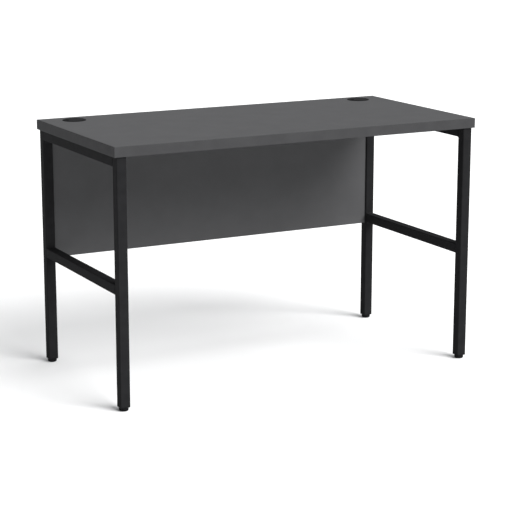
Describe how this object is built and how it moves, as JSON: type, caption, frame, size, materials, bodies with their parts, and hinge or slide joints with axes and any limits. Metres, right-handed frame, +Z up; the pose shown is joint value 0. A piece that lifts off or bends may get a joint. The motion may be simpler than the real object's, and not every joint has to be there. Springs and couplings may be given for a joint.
{
  "type": "office desk",
  "caption": "Straight office desk with a thick laminated top on black square-tube side frames, a modesty panel, cable ports and screw-in levelling feet.",
  "frame": {"origin": "on the floor under the middle of the top", "axes": "+X to the sitter's right, +Y away from the sitter towards the modesty panel, +Z up"},
  "size_m": [1.2, 0.6, 0.7675],
  "materials": {
    "laminate": "graphite melamine, fine emboss, low sheen",
    "edging": "graphite edge band, low sheen",
    "powder_coat": "black powder coat, fine texture",
    "black_plastic": "black moulded plastic, satin",
    "zinc_steel": "bright zinc plate"
  },
  "bodies": {
    "desk": {"desktop_board": "laminate", "modesty_board": "laminate", "desktop_edge_front": "edging", "desktop_edge_rear": "edging", "desktop_edge_left": "edging", "desktop_edge_right": "edging", "modesty_edge_bottom": "edging", "modesty_edge_left": "edging", "modesty_edge_right": "edging", "left_front_upright": "powder_coat", "left_rear_upright": "powder_coat", "left_top_rail": "powder_coat", "left_crossbar": "powder_coat", "right_front_upright": "powder_coat", "right_rear_upright": "powder_coat", "right_top_rail": "powder_coat", "right_crossbar": "powder_coat", "front_left_tube_plug": "black_plastic", "rear_left_tube_plug": "black_plastic", "front_right_tube_plug": "black_plastic", "rear_right_tube_plug": "black_plastic", "left_port_liner": "black_plastic", "right_port_liner": "black_plastic", "left_front_top_screw": "zinc_steel", "left_middle_top_screw": "zinc_steel", "left_rear_top_screw": "zinc_steel", "right_front_top_screw": "zinc_steel", "right_middle_top_screw": "zinc_steel", "right_rear_top_screw": "zinc_steel", "left_lower_cam_lock": "zinc_steel", "left_lower_cam_dowel": "zinc_steel", "left_lower_rivet_nut": "zinc_steel", "left_upper_cam_lock": "zinc_steel", "left_upper_cam_dowel": "zinc_steel", "left_upper_rivet_nut": "zinc_steel", "right_lower_cam_lock": "zinc_steel", "right_lower_cam_dowel": "zinc_steel", "right_lower_rivet_nut": "zinc_steel", "right_upper_cam_lock": "zinc_steel", "right_upper_cam_dowel": "zinc_steel", "right_upper_rivet_nut": "zinc_steel"},
    "front_left_stud": {"front_left_foot_stud": "zinc_steel"},
    "front_left_pad": {"front_left_foot_pad": "black_plastic"},
    "rear_left_stud": {"rear_left_foot_stud": "zinc_steel"},
    "rear_left_pad": {"rear_left_foot_pad": "black_plastic"},
    "left_cap": {"left_port_cap": "black_plastic"},
    "front_right_stud": {"front_right_foot_stud": "zinc_steel"},
    "front_right_pad": {"front_right_foot_pad": "black_plastic"},
    "rear_right_stud": {"rear_right_foot_stud": "zinc_steel"},
    "rear_right_pad": {"rear_right_foot_pad": "black_plastic"},
    "right_cap": {"right_port_cap": "black_plastic"}
  },
  "joints": [
    {"name": "front_left_foot_travel", "type": "slide", "parent": "desk", "child": "front_left_stud", "axis": [0, 0, 1], "range_m": [-0.0094, 0]},
    {"name": "front_left_foot_turn", "type": "hinge", "parent": "front_left_stud", "child": "front_left_pad", "pos_m": [-0.577, -0.28, 0.005], "axis": [0, 0, 1], "range_deg": [-2700, 0]},
    {"name": "rear_left_foot_travel", "type": "slide", "parent": "desk", "child": "rear_left_stud", "axis": [0, 0, 1], "range_m": [-0.0094, 0]},
    {"name": "rear_left_foot_turn", "type": "hinge", "parent": "rear_left_stud", "child": "rear_left_pad", "pos_m": [-0.577, 0.283, 0.005], "axis": [0, 0, 1], "range_deg": [-2700, 0]},
    {"name": "left_cap_lift", "type": "slide", "parent": "desk", "child": "left_cap", "axis": [0, 0, 1], "range_m": [0, 0.04]},
    {"name": "front_right_foot_travel", "type": "slide", "parent": "desk", "child": "front_right_stud", "axis": [0, 0, 1], "range_m": [-0.0094, 0]},
    {"name": "front_right_foot_turn", "type": "hinge", "parent": "front_right_stud", "child": "front_right_pad", "pos_m": [0.577, -0.28, 0.005], "axis": [0, 0, 1], "range_deg": [-2700, 0]},
    {"name": "rear_right_foot_travel", "type": "slide", "parent": "desk", "child": "rear_right_stud", "axis": [0, 0, 1], "range_m": [-0.0094, 0]},
    {"name": "rear_right_foot_turn", "type": "hinge", "parent": "rear_right_stud", "child": "rear_right_pad", "pos_m": [0.577, 0.283, 0.005], "axis": [0, 0, 1], "range_deg": [-2700, 0]},
    {"name": "right_cap_lift", "type": "slide", "parent": "desk", "child": "right_cap", "axis": [0, 0, 1], "range_m": [0, 0.04]}
  ],
  "couplings": [
    {"joint": "front_left_foot_travel", "follows": "front_left_foot_turn", "m_per_rad": 0.00019894},
    {"joint": "rear_left_foot_travel", "follows": "rear_left_foot_turn", "m_per_rad": 0.00019894},
    {"joint": "front_right_foot_travel", "follows": "front_right_foot_turn", "m_per_rad": 0.00019894},
    {"joint": "rear_right_foot_travel", "follows": "rear_right_foot_turn", "m_per_rad": 0.00019894}
  ]
}
